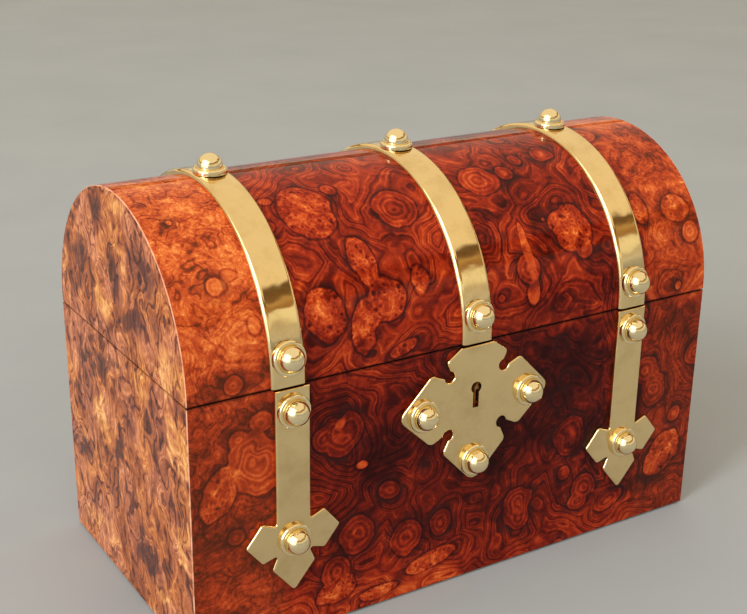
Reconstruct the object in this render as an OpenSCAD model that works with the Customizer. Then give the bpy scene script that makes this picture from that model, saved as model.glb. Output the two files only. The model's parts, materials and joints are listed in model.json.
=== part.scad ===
// Dome-topped tea caddy: a dovetailed carcass under burr veneer, bound with brass straps.
// Frame: +Z up, front faces -Y, origin at the middle of the underside. Millimetres.

/* [Box] */
// Width, left end to right end
box_w = 230; // [200:1:260]
// Depth, front to back; the lid's dome is a half cylinder across it
box_d = 116; // [108:1:130]
// Height of the base, from the table to the parting line
base_h = 98; // [92:1:120]
// Thickness of the carcass boards of the base and the lid's ends
board_t = 8; // [8:0.5:9]
// Thickness of the lid's bent shell
shell_t = 6; // [5.5:0.5:7]
// Thickness of the burr veneer
veneer_t = 1; // [0.8:0.1:1.2]
// Dovetails at each corner of the carcass
tail_count = 4; // [3:1:5]

/* [Brass] */
// Width of the straps
strap_w = 13.4; // [10:0.2:14]
// Thickness of the straps and the escutcheon
strap_t = 2; // [1.4:0.1:2.2]
// Distance of the outer straps from the middle
strap_x = 76; // [72:1:84]
// Sideways error of the hand-fitted left strap of the lid against the one below it
strap_slip = 1.3; // [0:0.1:1.6]
// Radius of a stud's flange
stud_r = 6.3; // [5.5:0.1:6.6]
// Height of the middle of a stud's ball above the strap
stud_lift = 2.2; // [1.8:0.1:3.4]

/* [Inside] */
// Thickness of the lining boards of the compartments
lining_t = 3; // [2.5:0.5:3.5]
// Thickness of the divider between the compartments
divider_t = 5; // [4:0.5:8]
// Depth of the inner lids' top below the rim
lid_drop = 7; // [6:0.5:9]
// Thickness of the inner lids
inner_lid_t = 5; // [4:0.5:6]

/* [Hidden] */
$fn = 96;
eps = 0.01;

// Main levels and half sizes
half_w = box_w / 2;
half_d = box_d / 2;
baize_t = 0.8;
facing_t = 1;
parting_gap = 0.5;
lid_z = base_h + parting_gap;
dome_z = lid_z + facing_t;
lining_skin_t = 0.8;
carcass_x = half_w - veneer_t;
carcass_y = half_d - veneer_t;
inside_x = carcass_x - board_t;
inside_y = carcass_y - board_t;
room_x = inside_x - lining_t;
room_y = inside_y - lining_t;
floor_z = baize_t + board_t;
inner_lid_z = base_h - lid_drop - inner_lid_t;
ledge_h = 4;
ledge_w = 3;
foil_t = 0.8;
lid_play = 0.4;

// Studs: where they stand, by x and by height on the front or by angle round the dome
shank_r = 0.9;
shank_l = 7.5;
ball_r = 4.7;
cross_z = 41;
cross_stud_z = cross_z - 0.8;
upper_stud_z = 89.7;
rim_stud_angle = 9;
crest_stud_angle = 88;
base_strap_x = [-strap_x - 0.7, strap_x - 1];
lid_strap_x = [base_strap_x[0] - strap_slip, 0.2, base_strap_x[1]];
escutcheon_x = 0.4;
escutcheon_z = 75;
escutcheon_stud_x = 23.8;
escutcheon_stud_z = 23.4;

// Hinges
hinge_x = 44;
hinge_l = 36;
leaf_t = 1.2;
knuckle_r = 2.4;
knuckles = 5;
knuckle_play = 0.15;
pin_r = 1.1;
hinge_play = 0.3;
hinge_y = half_d + knuckle_r + hinge_play;
hinge_z = base_h + parting_gap / 2;
shell_in = carcass_y - shell_t;
lining_in = shell_in - lining_skin_t;
leaf_y = shell_in + 0.2;
leaf_screw_x = [-13, 0, 13];
leaf_screw_y = carcass_y - 3.2;

// Lock
key_z = 81;
keyhole_r = 2.3;
keyhole_slot_w = 2.6;
keyhole_drop = 8;
case_w = 42;
case_z = 68;
case_front = -(half_d - 2);
case_back = -inside_y;
wall_t = 0.8;
top_plate_w = 54;
top_plate_t = 1.5;
loop_x = 11;
loop_t = 2;
loop_front = -(half_d - 3.5);
loop_back = -(half_d - 6.7);
loop_bottom = base_h - 9;
bolt_y = (loop_front + loop_back) / 2;
bolt_t = 1.4;
bolt_z = 83.5;
bolt_travel = 4.2;
guide_x = [-14, 7.5];

// ---------- colours ----------
module burr() { color([0.45, 0.13, 0.06]) children(); }
module carcass() { color([0.45, 0.24, 0.13]) children(); }
module walnut() { color([0.33, 0.18, 0.10]) children(); }
module brass() { color([0.80, 0.66, 0.36]) children(); }
module steel() { color([0.55, 0.55, 0.56]) children(); }
module baize() { color([0.10, 0.25, 0.14]) children(); }
module velvet() { color([0.36, 0.06, 0.09]) children(); }
module foil() { color([0.62, 0.62, 0.60]) children(); }

// ---------- helpers ----------
// A box between two corners
module slab(low, high) {
    translate(low) cube(high - low);
}

// Mirrors its children to the other side of the middle plane as well
module both_sides() {
    children();
    mirror([1, 0, 0]) children();
}

// Puts children on the front face at (x, z), with their +Z pointing out of it
module on_front(x, z, out = 0) {
    translate([x, -half_d - out, z]) rotate([90, 0, 0]) children();
}

// Puts children on the dome, at an angle from its front edge, with their +Z pointing out of it
module on_dome(x, angle, out = 0) {
    translate([x, 0, dome_z]) rotate([90 - angle, 0, 0]) translate([0, 0, half_d + out]) children();
}

// The outline of the lid's cross section at a radius, from a level up
module lid_outline(r, low = lid_z) {
    translate([0, dome_z]) intersection() {
        circle(r = r, $fn = 180);
        translate([-r - 1, 0]) square([2 * r + 2, r + 1]);
    }
    if (low < dome_z) translate([-r, low]) square([2 * r, dome_z - low]);
}

// A length of lid section along X, between two x values
module along_x(x0, x1) {
    translate([x0, 0, 0]) rotate([90, 0, 90]) linear_extrude(x1 - x0) children();
}

// Rounds the corners of an outline whose points are [x, y, radius]
function corner(a, b, c) =
    let (
        p = [b[0], b[1]],
        u = [a[0], a[1]] - p,
        v = [c[0], c[1]] - p,
        un = u / norm(u),
        vn = v / norm(v),
        half = acos(max(-1, min(1, un * vn))) / 2,
        reach = b[2] / tan(half),
        mid = (un + vn) / norm(un + vn),
        centre = p + mid * b[2] / sin(half),
        start = p + un * reach - centre,
        turn = cross(un, vn) > 0 ? 1 : -1,
        sweep = -turn * (180 - 2 * half),
        steps = 5
    )
    [for (i = [0 : steps])
        let (t = -sweep * i / steps)
        centre + [start[0] * cos(t) + start[1] * sin(t), -start[0] * sin(t) + start[1] * cos(t)]];

function rounded(points) =
    let (n = len(points))
    [for (i = [0 : n - 1])
        each points[i][2] > 0
            ? corner(points[(i + n - 1) % n], points[i], points[(i + 1) % n])
            : [[points[i][0], points[i][1]]]];

// A countersunk screw whose head lies flush with z = 0, pointing down
module screw(length, head_r = 1.7, shank = 0.8, slotted = true) {
    difference() {
        union() {
            translate([0, 0, -1]) cylinder(r1 = shank, r2 = head_r, h = 1, $fn = 32);
            translate([0, 0, -length]) cylinder(r = shank, h = length - 1 + eps, $fn = 32);
        }
        if (slotted) translate([-2, -0.2, -0.35]) cube([4, 0.4, 1]);
    }
}

// ---------- carcass ----------
// The tails of one end board, at the front or the back edge: side is -1 or 1
module tails(side) {
    pitch = (base_h - facing_t - floor_z) / tail_count;
    for (i = [0 : tail_count - 1]) {
        mid = floor_z + pitch * (i + 0.5);
        root = pitch * 0.27;
        tip = pitch * 0.36;
        translate([-carcass_x, 0, 0]) rotate([90, 0, 90]) linear_extrude(board_t)
            polygon([[side * inside_y, mid - root], [side * carcass_y, mid - tip],
                     [side * carcass_y, mid + tip], [side * inside_y, mid + root]]);
    }
}

module left_end_board() {
    carcass() union() {
        slab([-carcass_x, -inside_y, baize_t], [-inside_x, inside_y, base_h - facing_t]);
        tails(-1);
        tails(1);
    }
}

module right_end_board() {
    mirror([1, 0, 0]) left_end_board();
}

module keyhole(depth) {
    on_front(0, key_z, strap_t + 1) translate([0, 0, -depth]) {
        cylinder(r = keyhole_r, h = depth + 1, $fn = 40);
        translate([-keyhole_slot_w / 2, -keyhole_drop, 0])
            cube([keyhole_slot_w, keyhole_drop, depth + 1]);
    }
}

module front_board() {
    carcass() difference() {
        slab([-carcass_x, -carcass_y, baize_t], [carcass_x, -inside_y, base_h - facing_t]);
        both_sides() tails(-1);
        slab([-case_w / 2, case_front, case_z], [case_w / 2, case_back + 1, base_h]);
        lock_top_plate_block();
        keyhole(8);
        front_stud_places() stud_shank();
        lock_screw_places() screw(6, slotted = false);
    }
}

module back_board() {
    carcass() difference() {
        slab([-carcass_x, inside_y, baize_t], [carcass_x, carcass_y, base_h - facing_t]);
        both_sides() tails(1);
        both_sides() base_leaf_block();
        hinge_screw_places() screw(7, slotted = false);
    }
}

module bottom_board() {
    carcass() slab([-inside_x, -inside_y, baize_t], [inside_x, inside_y, floor_z]);
}

module base_baize() {
    inset = 1.5;
    baize() slab([-half_w + inset, -half_d + inset, 0], [half_w - inset, half_d - inset, baize_t]);
}

// Four mitred strips round a rim, between two levels; y_in is the inner half depth
module rim_strips(low, high, y_in) {
    h = high - low;
    x_in = inside_x;
    translate([0, 0, low]) {
        for (s = [-1, 1]) {
            linear_extrude(h) polygon([[-carcass_x, s * carcass_y], [carcass_x, s * carcass_y],
                                       [x_in, s * y_in], [-x_in, s * y_in]]);
            linear_extrude(h) polygon([[s * carcass_x, -carcass_y], [s * carcass_x, carcass_y],
                                       [s * x_in, y_in], [s * x_in, -y_in]]);
        }
    }
}

module base_rim_facing() {
    walnut() difference() {
        rim_strips(base_h - facing_t, base_h, inside_y);
        lock_top_plate_block();
        both_sides() base_leaf_block();
    }
}

// ---------- veneers of the base ----------
module front_veneer() {
    burr() difference() {
        slab([-half_w, -half_d, baize_t], [half_w, -carcass_y, base_h]);
        keyhole(6);
        front_stud_places() stud_shank();
    }
}

module back_veneer() {
    burr() difference() {
        slab([-half_w, carcass_y, baize_t], [half_w, half_d, base_h]);
        both_sides() base_leaf_block();
    }
}

module left_base_veneer() {
    burr() slab([-half_w, -carcass_y, baize_t], [-carcass_x, carcass_y, base_h]);
}

module right_base_veneer() {
    mirror([1, 0, 0]) left_base_veneer();
}

// ---------- compartments ----------
module divider() {
    walnut() slab([-divider_t / 2, -room_y, floor_z], [divider_t / 2, room_y, base_h - lid_drop]);
}

// Front, back and end lining boards of the left compartment, meeting at the divider's middle
module left_compartment_lining() {
    walnut() {
        for (s = [-1, 1])
            slab([-inside_x, min(s * room_y, s * inside_y), floor_z],
                 [0, max(s * room_y, s * inside_y), base_h]);
        slab([-inside_x, -room_y, floor_z], [-room_x, room_y, base_h]);
    }
}

module right_compartment_lining() {
    mirror([1, 0, 0]) left_compartment_lining();
}

// Strips round the left compartment that carry its inner lid
module left_lid_ledge() {
    low = inner_lid_z - ledge_h;
    walnut() {
        for (s = [-1, 1])
            slab([-room_x, min(s * room_y, s * (room_y - ledge_w)), low],
                 [-divider_t / 2, max(s * room_y, s * (room_y - ledge_w)), inner_lid_z]);
        slab([-room_x, -room_y + ledge_w, low], [-room_x + ledge_w, room_y - ledge_w, inner_lid_z]);
        slab([-divider_t / 2 - ledge_w, -room_y + ledge_w, low],
             [-divider_t / 2, room_y - ledge_w, inner_lid_z]);
    }
}

module right_lid_ledge() {
    mirror([1, 0, 0]) left_lid_ledge();
}

// Tea-lead box that lines the left compartment below the ledge
module left_foil_liner() {
    top = inner_lid_z - ledge_h;
    foil() difference() {
        slab([-room_x, -room_y, floor_z], [-divider_t / 2, room_y, top]);
        slab([-room_x + foil_t, -room_y + foil_t, floor_z + foil_t],
             [-divider_t / 2 - foil_t, room_y - foil_t, top + 1]);
    }
}

module right_foil_liner() {
    mirror([1, 0, 0]) left_foil_liner();
}

// ---------- inner lids ----------
inner_lid_mid = (room_x + divider_t / 2) / 2;

module left_inner_lid() {
    edge = 3;
    rise = 1.5;
    low = [-room_x + lid_play, -room_y + lid_play, inner_lid_z];
    high = [-divider_t / 2 - lid_play, room_y - lid_play, inner_lid_z + inner_lid_t];
    walnut() difference() {
        slab(low, high);
        // A sunk margin leaves a raised field in the middle
        difference() {
            slab([low[0] - 1, low[1] - 1, high[2] - rise], high + [1, 1, 1]);
            slab([low[0] + edge, low[1] + edge, high[2] - rise - 1],
                 [high[0] - edge, high[1] - edge, high[2] + 2]);
        }
        translate([-inner_lid_mid, 0, high[2] - 4]) cylinder(r = 1.2, h = 5, $fn = 32);
    }
}

module right_inner_lid() {
    mirror([1, 0, 0]) left_inner_lid();
}

// A turned knob: rose, neck and ball, with a spigot glued into the lid
module left_inner_lid_knob() {
    ball = 5.2;
    translate([-inner_lid_mid, 0, inner_lid_z + inner_lid_t]) brass() {
        translate([0, 0, -4]) cylinder(r = 1.2, h = 4 + eps, $fn = 32);
        cylinder(r = 5.5, h = 1, $fn = 64);
        translate([0, 0, 1]) cylinder(r1 = 4.6, r2 = 2.2, h = 1.6, $fn = 64);
        cylinder(r = 2.2, h = 6, $fn = 48);
        translate([0, 0, 8]) intersection() {
            sphere(r = ball, $fn = 64);
            translate([-6, -6, -3.8]) cube([12, 12, 8.2]);
        }
    }
}

module right_inner_lid_knob() {
    mirror([1, 0, 0]) left_inner_lid_knob();
}

// ---------- brass straps and studs ----------
// Flange, bead and ball, standing on z = 0, with a shank below it as long as the strap needs
module stud() {
    flange_t = 1;
    bead_r = 0.9;
    brass() {
        cylinder(r = stud_r, h = flange_t, $fn = 64);
        translate([0, 0, flange_t]) rotate_extrude($fn = 64)
            translate([stud_r - bead_r - 0.05, 0]) circle(r = bead_r, $fn = 32);
        cylinder(r = ball_r - 0.6, h = stud_lift, $fn = 64);
        intersection() {
            translate([0, 0, stud_lift]) sphere(r = ball_r, $fn = 64);
            translate([0, 0, flange_t / 2]) cylinder(r = ball_r + 1, h = stud_lift + ball_r, $fn = 32);
        }
        stud_shank();
    }
}

module stud_shank() {
    translate([0, 0, -shank_l]) cylinder(r = shank_r, h = shank_l + eps, $fn = 32);
}

module base_strap_stud_places() {
    for (x = base_strap_x, z = [cross_stud_z, upper_stud_z]) on_front(x, z, strap_t) children();
}

module escutcheon_stud_places() {
    for (s = [-1, 1])
        on_front(escutcheon_x + s * escutcheon_stud_x, escutcheon_z, strap_t) children();
    on_front(0, escutcheon_z - escutcheon_stud_z, strap_t) children();
}

module front_stud_places() {
    base_strap_stud_places() children();
    escutcheon_stud_places() children();
}

// Studs of the lid's three straps at one angle round the dome
module lid_stud_places(angle) {
    for (x = lid_strap_x) on_dome(x, angle, strap_t) children();
}

module all_lid_stud_places() {
    for (angle = [rim_stud_angle, crest_stud_angle, 180 - rim_stud_angle])
        lid_stud_places(angle) children();
}

module base_strap_studs() { base_strap_stud_places() stud(); }
module escutcheon_studs() { escutcheon_stud_places() stud(); }
module lid_front_studs() { lid_stud_places(rim_stud_angle) stud(); }
module lid_crest_studs() { lid_stud_places(crest_stud_angle) stud(); }
module lid_back_studs() { lid_stud_places(180 - rim_stud_angle) stud(); }

// Right half of a base strap and its three-armed foot, about the foot's middle, with corner radii
function strap_half() =
    let (w = strap_w / 2)
    [[w, base_h - cross_z - 0.2, 0], [w, 5.6, 0.7], [12.4, 7.9, 1.2], [18.8, 0, 1.1],
     [12.4, -7.9, 1.2], [6.3, -6.1, 0.7], [8.6, -11.6, 1.2]];

function strap_outline() =
    let (half = strap_half(), n = len(half))
    concat(half, [[0, -22, 1.3]], [for (i = [n - 1 : -1 : 0]) [-half[i][0], half[i][1], half[i][2]]]);

module base_strap(x) {
    brass() difference() {
        on_front(x, cross_z) linear_extrude(strap_t) polygon(rounded(strap_outline()));
        front_stud_places() stud_shank();
    }
}

module left_base_strap() { base_strap(base_strap_x[0]); }
module right_base_strap() { base_strap(base_strap_x[1]); }

// A strap over the dome, from the front edge of the lid to the back edge
module lid_strap(x) {
    edge_gap = 0.3;
    brass() difference() {
        along_x(x - strap_w / 2, x + strap_w / 2) difference() {
            lid_outline(half_d + strap_t, lid_z + edge_gap);
            lid_outline(half_d, lid_z);
        }
        all_lid_stud_places() stud_shank();
    }
}

module left_lid_strap() { lid_strap(lid_strap_x[0]); }
module centre_lid_strap() { lid_strap(lid_strap_x[1]); }
module right_lid_strap() { lid_strap(lid_strap_x[2]); }

// The escutcheon: a diamond of four arms with a round-bottomed notch between each two.
// Each arm has two shoulders and a point, given for the right-hand side and rounded.
notch_r = 2.2;
notch_open = 50;
upper_shoulder = [13.8, 18.3, 1.7];
upper_notch = [12.2, 12.4];
side_shoulders = [[20, 14.7, 2.2], [19.9, -13.7, 2.8]];
side_point = [34.4, 0, 3.5];
lower_notch = [12.2, -11];
lower_shoulder = [14.4, -18.3, 2.4];
lower_point = [0, -33.4, 4];

// The round bottom of a notch about its centre, from one mouth side to the other
function notch_arc(centre, out_angle) =
    let (steps = 14)
    [for (i = [0 : steps])
        let (t = out_angle + notch_open + (360 - 2 * notch_open) * i / steps)
        [centre[0] + notch_r * cos(t), centre[1] + notch_r * sin(t), 0]];

// The right half from the top edge down; the top arm is cut off level below the parting line
function escutcheon_half() =
    concat([[7.4, base_h - escutcheon_z - 0.2, 0.8], upper_shoulder], notch_arc(upper_notch, 45),
           [side_shoulders[0], side_point, side_shoulders[1]], notch_arc(lower_notch, -45),
           [lower_shoulder]);

function escutcheon_outline() =
    let (half = escutcheon_half(), n = len(half))
    concat(half, [lower_point], [for (i = [n - 1 : -1 : 0]) [-half[i][0], half[i][1], half[i][2]]]);

module escutcheon() {
    brass() difference() {
        on_front(escutcheon_x, escutcheon_z) linear_extrude(strap_t)
            polygon(rounded(escutcheon_outline()));
        keyhole(6);
        front_stud_places() stud_shank();
    }
}

// ---------- lock ----------
module lock_top_plate_block() {
    slab([-top_plate_w / 2, -carcass_y + 0.6, base_h - top_plate_t],
         [top_plate_w / 2, -inside_y - 0.6, base_h + 1]);
}

module lock_screw_places() {
    for (x = [-1, 1]) translate([x * (case_w / 2 + 3), -half_d + 5, base_h]) children();
}

// Back, sides and floor of the lock, with its top plate, two slots and the bolt's guide studs
module lock_case() {
    play = 0.7;
    brass() difference() {
        union() {
            difference() {
                slab([-case_w / 2, case_front + wall_t, case_z],
                     [case_w / 2, case_back, base_h - top_plate_t + eps]);
                slab([-case_w / 2 + wall_t, case_front - 1, case_z + wall_t],
                     [case_w / 2 - wall_t, case_back - wall_t, base_h]);
            }
            slab([-top_plate_w / 2, -carcass_y + 0.6, base_h - top_plate_t],
                 [top_plate_w / 2, -inside_y - 0.6, base_h]);
            for (x = guide_x)
                translate([x, case_back - wall_t / 2, bolt_z + 2.25]) rotate([90, 0, 0])
                    cylinder(r = 0.7, h = case_back - wall_t / 2 - bolt_y + bolt_t, $fn = 32);
        }
        for (s = [-1, 1])
            slab([s * loop_x - loop_t / 2 - play, loop_front - play, base_h - top_plate_t - 1],
                 [s * loop_x + loop_t / 2 + play, loop_back + play, base_h + 1]);
        lock_screw_places() screw(6, slotted = false);
        translate([0, case_back + 1, key_z]) rotate([90, 0, 0])
            cylinder(r = 1.1, h = 3, $fn = 32);
    }
}

// Front plate of the lock, with the keyhole
module lock_cap() {
    brass() difference() {
        slab([-case_w / 2, case_front, case_z], [case_w / 2, case_front + wall_t, base_h - top_plate_t]);
        keyhole(8);
    }
}

// Pin that the barrel of the key turns on
module lock_drill_pin() {
    steel() translate([0, case_back, key_z]) rotate([90, 0, 0])
        cylinder(r = 1.1, h = case_back - case_front - 0.4, $fn = 32);
}

module lock_screws() {
    steel() lock_screw_places() screw(6);
}

// Sliding bolt with a prong for each loop of the link plate
module lock_bolt() {
    back = bolt_y + bolt_t / 2;
    front = bolt_y - bolt_t / 2;
    post_x = loop_t / 2 + bolt_travel + 0.3;
    brass() difference() {
        union() {
            slab([-19.6, front, bolt_z], [11, back, bolt_z + 4.5]);
            for (s = [-1, 1]) {
                slab([s * loop_x - post_x - 3, front, bolt_z + 4], [s * loop_x - post_x, back, 94]);
                slab([s * loop_x - post_x - eps, front, 91], [s * loop_x - loop_t / 2 - 0.6, back, 94]);
            }
        }
        for (x = guide_x)
            slab([x - bolt_travel - 0.9, front - 1, bolt_z + 1.35],
                 [x + 0.9, back + 1, bolt_z + 3.15]);
        slab([-2, front - 1, bolt_z - 1], [2, back + 1, bolt_z + 2]);
    }
}

// Leaf spring on the bolt that presses on the case and holds the bolt where the key leaves it
module lock_bolt_spring() {
    back = bolt_y + bolt_t / 2;
    steel() translate([0, back, 0]) rotate([90, 0, 0]) linear_extrude(bolt_t)
        polygon([[-7, bolt_z + 4.5], [-3, bolt_z + 4.5], [3.6, bolt_z + 12.2],
                 [3.2, bolt_z + 12.8], [-3.4, bolt_z + 5.2], [-7, bolt_z + 5.2]]);
}

// Plate in the lid's rim with two loops that drop into the lock
link_w = 40;
link_t = 1.5;
link_front = -carcass_y + 0.7;
link_back = -shell_in - 0.3;

module link_plate_block() {
    slab([-link_w / 2, link_front, lid_z - 1], [link_w / 2, link_back, lid_z + link_t]);
}

module link_screw_places() {
    for (s = [-1, 1]) translate([s * (link_w / 2 - 4), (link_front + link_back) / 2, lid_z])
        rotate([180, 0, 0]) children();
}

module lock_link_plate() {
    brass() difference() {
        union() {
            slab([-link_w / 2, link_front, lid_z], [link_w / 2, link_back, lid_z + link_t]);
            for (s = [-1, 1])
                slab([s * loop_x - loop_t / 2, loop_front, loop_bottom],
                     [s * loop_x + loop_t / 2, loop_back, lid_z + eps]);
        }
        for (s = [-1, 1])
            slab([s * loop_x - loop_t, bolt_y - bolt_t / 2 - 0.2, 90.5],
                 [s * loop_x + loop_t, bolt_y + bolt_t / 2 + 0.2, 94.5]);
        link_screw_places() screw(6, slotted = false);
    }
}

module lock_link_screws() {
    steel() link_screw_places() screw(6);
}

// ---------- hinges ----------
// Room for the base leaf of the right hinge in the rim, open to the back and the top
module base_leaf_block() {
    slab([hinge_x - hinge_l / 2, leaf_y, base_h - leaf_t],
         [hinge_x + hinge_l / 2, half_d + 5, base_h + 1]);
}

module lid_leaf_block() {
    slab([hinge_x - hinge_l / 2, leaf_y, lid_z - 1],
         [hinge_x + hinge_l / 2, half_d + 5, lid_z + leaf_t]);
}

module hinge_screw_places() {
    for (s = [-1, 1], x = leaf_screw_x)
        translate([s * hinge_x + x, leaf_screw_y, base_h]) children();
}

module lid_screw_places() {
    for (s = [-1, 1], x = leaf_screw_x)
        translate([s * hinge_x + x, leaf_screw_y, lid_z]) rotate([180, 0, 0]) children();
}

// One leaf of the right hinge: its plate, and every second knuckle from the first one it has
module hinge_leaf(low, first) {
    step = hinge_l / knuckles;
    brass() difference() {
        union() {
            slab([hinge_x - hinge_l / 2, leaf_y, low], [hinge_x + hinge_l / 2, half_d, low + leaf_t]);
            for (i = [first : 2 : knuckles - 1]) {
                x0 = hinge_x - hinge_l / 2 + i * step + (i == 0 ? 0 : knuckle_play);
                x1 = hinge_x - hinge_l / 2 + (i + 1) * step - (i == knuckles - 1 ? 0 : knuckle_play);
                translate([x0, hinge_y, hinge_z]) rotate([0, 90, 0])
                    cylinder(r = knuckle_r, h = x1 - x0, $fn = 48);
                slab([x0, half_d - 1, low], [x1, hinge_y, low + leaf_t]);
            }
        }
        translate([hinge_x - hinge_l, hinge_y, hinge_z]) rotate([0, 90, 0])
            cylinder(r = pin_r + (first == 0 ? 0 : 0.05), h = 2 * hinge_l, $fn = 48);
        if (first == 0) hinge_screw_places() screw(7, slotted = false);
        else lid_screw_places() screw(7, slotted = false);
    }
}

module right_hinge_base_leaf() { hinge_leaf(base_h - leaf_t, 0); }
module left_hinge_base_leaf() { mirror([1, 0, 0]) right_hinge_base_leaf(); }
module right_hinge_lid_leaf() { hinge_leaf(lid_z, 1); }
module left_hinge_lid_leaf() { mirror([1, 0, 0]) right_hinge_lid_leaf(); }

module hinge_pins() {
    steel() for (s = [-1, 1])
        translate([s * hinge_x - hinge_l / 2, hinge_y, hinge_z]) rotate([0, 90, 0])
            cylinder(r = pin_r, h = hinge_l, $fn = 48);
}

module hinge_base_screws() {
    steel() hinge_screw_places() screw(7);
}

module hinge_lid_screws() {
    steel() lid_screw_places() screw(7);
}

// ---------- lid ----------
// Everything that is cut out of the lid's wood for its fittings
module lid_fitting_cuts() {
    link_plate_block();
    both_sides() lid_leaf_block();
    link_screw_places() screw(6, slotted = false);
    lid_screw_places() screw(7, slotted = false);
    all_lid_stud_places() stud_shank();
}

module lid_shell() {
    carcass() difference() {
        along_x(-carcass_x, carcass_x) difference() {
            lid_outline(carcass_y, dome_z);
            lid_outline(shell_in, dome_z - 1);
        }
        lid_fitting_cuts();
    }
}

module left_lid_end_board() {
    carcass() along_x(-carcass_x, -inside_x) lid_outline(shell_in, dome_z);
}

module right_lid_end_board() {
    mirror([1, 0, 0]) left_lid_end_board();
}

module lid_rim_facing() {
    walnut() difference() {
        rim_strips(lid_z, dome_z, shell_in);
        link_plate_block();
        both_sides() lid_leaf_block();
    }
}

module lid_dome_veneer() {
    burr() difference() {
        along_x(-half_w, half_w) difference() {
            lid_outline(half_d);
            lid_outline(carcass_y, lid_z - 1);
        }
        lid_fitting_cuts();
    }
}

module left_lid_veneer() {
    burr() along_x(-half_w, -carcass_x) lid_outline(carcass_y);
}

module right_lid_veneer() {
    mirror([1, 0, 0]) left_lid_veneer();
}

// Velvet glued inside the dome
module lid_lining() {
    velvet() along_x(-inside_x, inside_x) difference() {
        lid_outline(shell_in, dome_z);
        lid_outline(lining_in, dome_z - 1);
    }
}

module lid_end_linings() {
    velvet() both_sides()
        along_x(-inside_x, -inside_x + lining_skin_t) lid_outline(lining_in, dome_z);
}

base_baize();
bottom_board();
front_board();
back_board();
left_end_board();
right_end_board();
base_rim_facing();
front_veneer();
back_veneer();
left_base_veneer();
right_base_veneer();
divider();
left_compartment_lining();
right_compartment_lining();
left_lid_ledge();
right_lid_ledge();
left_foil_liner();
right_foil_liner();
escutcheon();
left_base_strap();
right_base_strap();
base_strap_studs();
escutcheon_studs();
lock_case();
lock_cap();
lock_drill_pin();
lock_screws();
lock_bolt();
lock_bolt_spring();
left_hinge_base_leaf();
right_hinge_base_leaf();
hinge_pins();
hinge_base_screws();
lid_shell();
left_lid_end_board();
right_lid_end_board();
lid_rim_facing();
lid_dome_veneer();
left_lid_veneer();
right_lid_veneer();
lid_lining();
lid_end_linings();
left_lid_strap();
centre_lid_strap();
right_lid_strap();
lid_front_studs();
lid_crest_studs();
lid_back_studs();
lock_link_plate();
lock_link_screws();
left_hinge_lid_leaf();
right_hinge_lid_leaf();
hinge_lid_screws();
left_inner_lid();
left_inner_lid_knob();
right_inner_lid();
right_inner_lid_knob();
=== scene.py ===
"""Looks of a dome-topped tea caddy in red burr veneer, bound with studded brass straps."""

import json
import math

import bmesh
import bpy
from mathutils import Matrix, Vector, noise


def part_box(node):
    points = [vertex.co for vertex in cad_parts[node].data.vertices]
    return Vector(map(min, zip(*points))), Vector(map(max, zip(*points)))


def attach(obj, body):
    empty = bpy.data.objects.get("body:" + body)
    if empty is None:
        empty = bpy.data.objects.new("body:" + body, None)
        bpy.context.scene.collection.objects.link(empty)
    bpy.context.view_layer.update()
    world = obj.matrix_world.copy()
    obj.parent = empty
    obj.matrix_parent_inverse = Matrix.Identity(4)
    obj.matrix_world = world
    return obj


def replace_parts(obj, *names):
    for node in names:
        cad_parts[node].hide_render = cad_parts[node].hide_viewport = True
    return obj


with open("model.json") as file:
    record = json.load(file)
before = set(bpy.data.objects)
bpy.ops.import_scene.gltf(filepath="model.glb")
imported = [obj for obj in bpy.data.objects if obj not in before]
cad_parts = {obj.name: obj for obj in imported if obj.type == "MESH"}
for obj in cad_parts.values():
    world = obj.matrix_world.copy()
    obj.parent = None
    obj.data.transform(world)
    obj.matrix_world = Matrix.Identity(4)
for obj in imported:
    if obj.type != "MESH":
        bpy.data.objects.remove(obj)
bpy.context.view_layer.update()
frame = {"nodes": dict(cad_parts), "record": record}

MM = 0.001
RECORD = frame["record"]
BODY_OF = {node: body for body, nodes in RECORD["behaviour"]["bodies"].items() for node in nodes}
SLOT_OF = {part["node"]: part["material_slot"] for part in RECORD["subparts"]}

# Main measures, in millimetres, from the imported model
HALF_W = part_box("front_veneer")[1][0] / MM
BASE_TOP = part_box("front_veneer")[1][2] / MM
DOME_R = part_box("lid_dome_veneer")[1][1] / MM
LID_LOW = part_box("lid_dome_veneer")[0][2] / MM
PARTING = (BASE_TOP + LID_LOW) / 2
DOME_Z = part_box("lid_dome_veneer")[1][2] / MM - DOME_R
STRAP_T = -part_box("escutcheon")[0][1] / MM - DOME_R


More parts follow.
